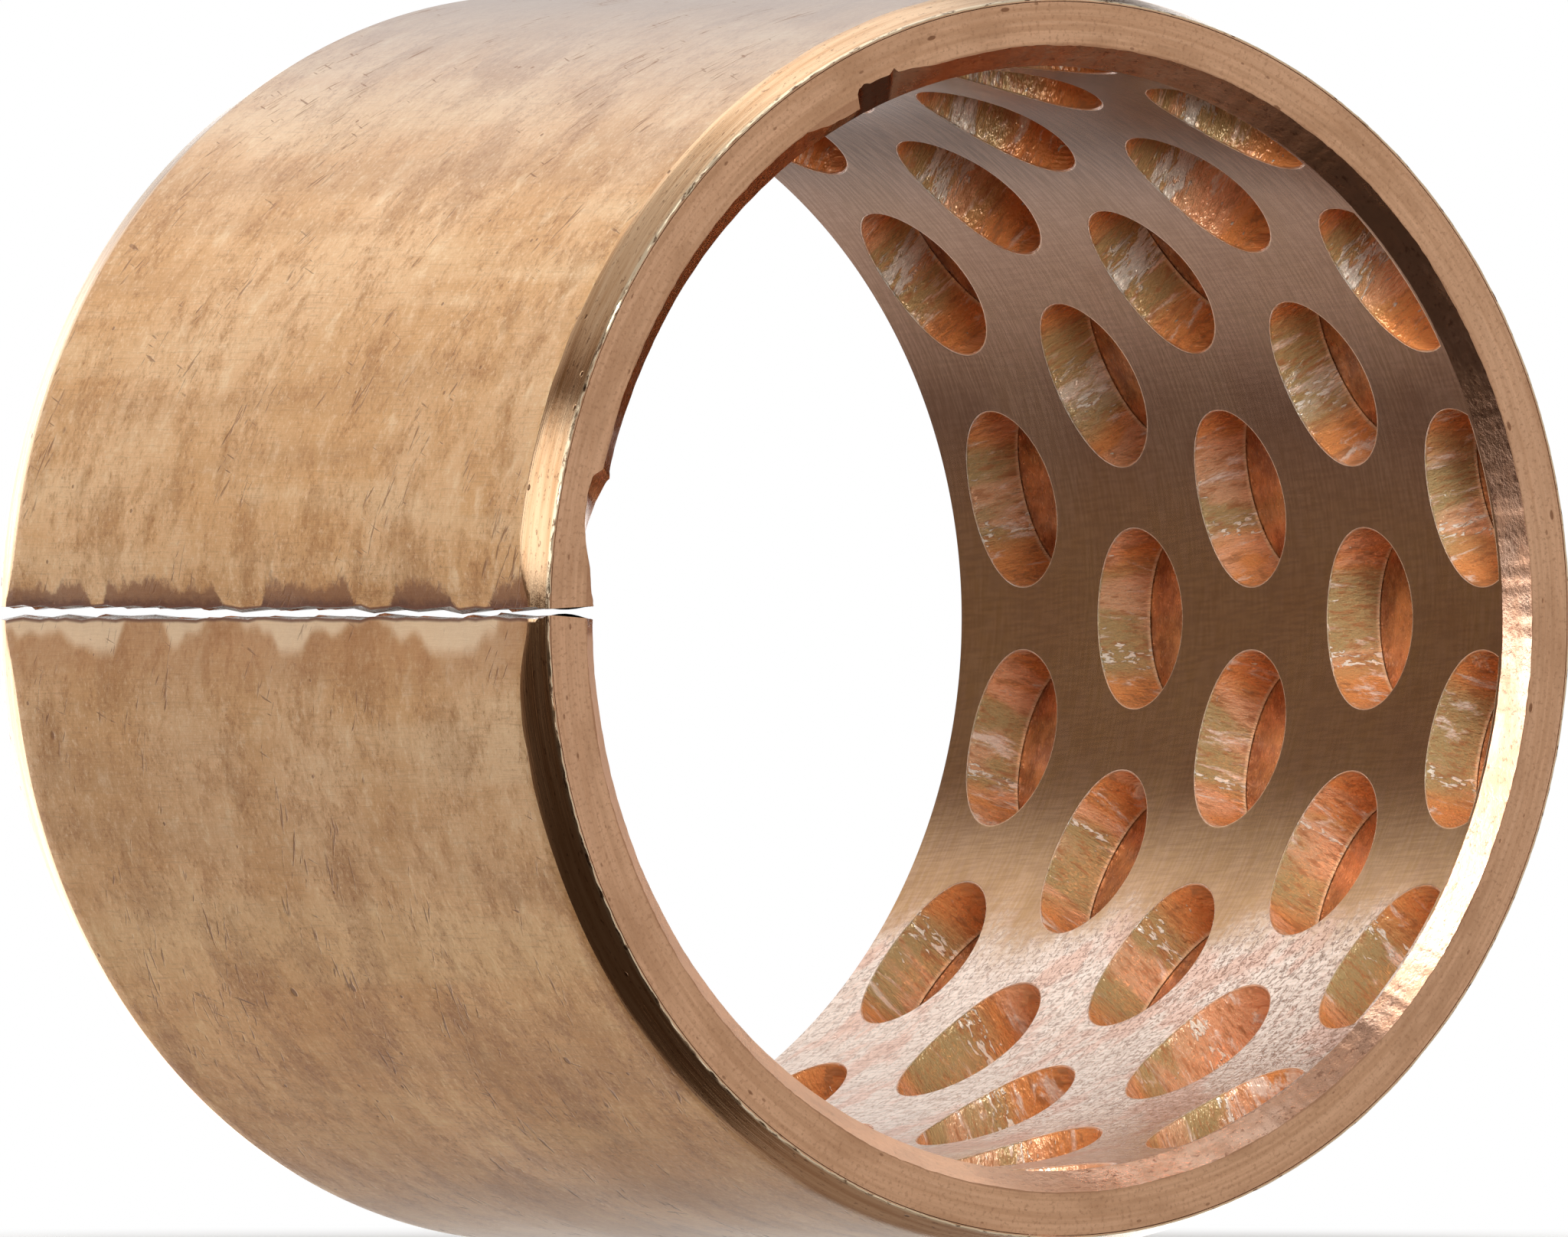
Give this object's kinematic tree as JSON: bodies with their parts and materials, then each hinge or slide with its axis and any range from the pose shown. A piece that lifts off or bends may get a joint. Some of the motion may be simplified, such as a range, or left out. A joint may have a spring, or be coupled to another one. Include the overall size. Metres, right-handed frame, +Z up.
{
  "type": "sleeve bushing",
  "caption": "Split bronze sleeve bushing with chamfered ends, a straight butt joint and staggered oval grease pockets around the bore, lining a housing for a plain shaft.",
  "frame": {"origin": "on the bore axis, halfway along the bushing", "axes": "+Y along the bore towards the back end, +Z up with the bushing lying on its side, -X towards the butt joint"},
  "size_m": [0.032, 0.025, 0.032],
  "materials": {
    "shell_bronze": "tan bronze, satin and mottled, with short rolling scratches; the bevelled ends are polished",
    "liner_bronze": "reddish bronze, fine cross-grained satin in the bore; pocket walls streaked orange and olive"
  },
  "bodies": {
    "root": {"backing_shell": "shell_bronze", "perforated_liner": "liner_bronze"}
  },
  "joints": []
}
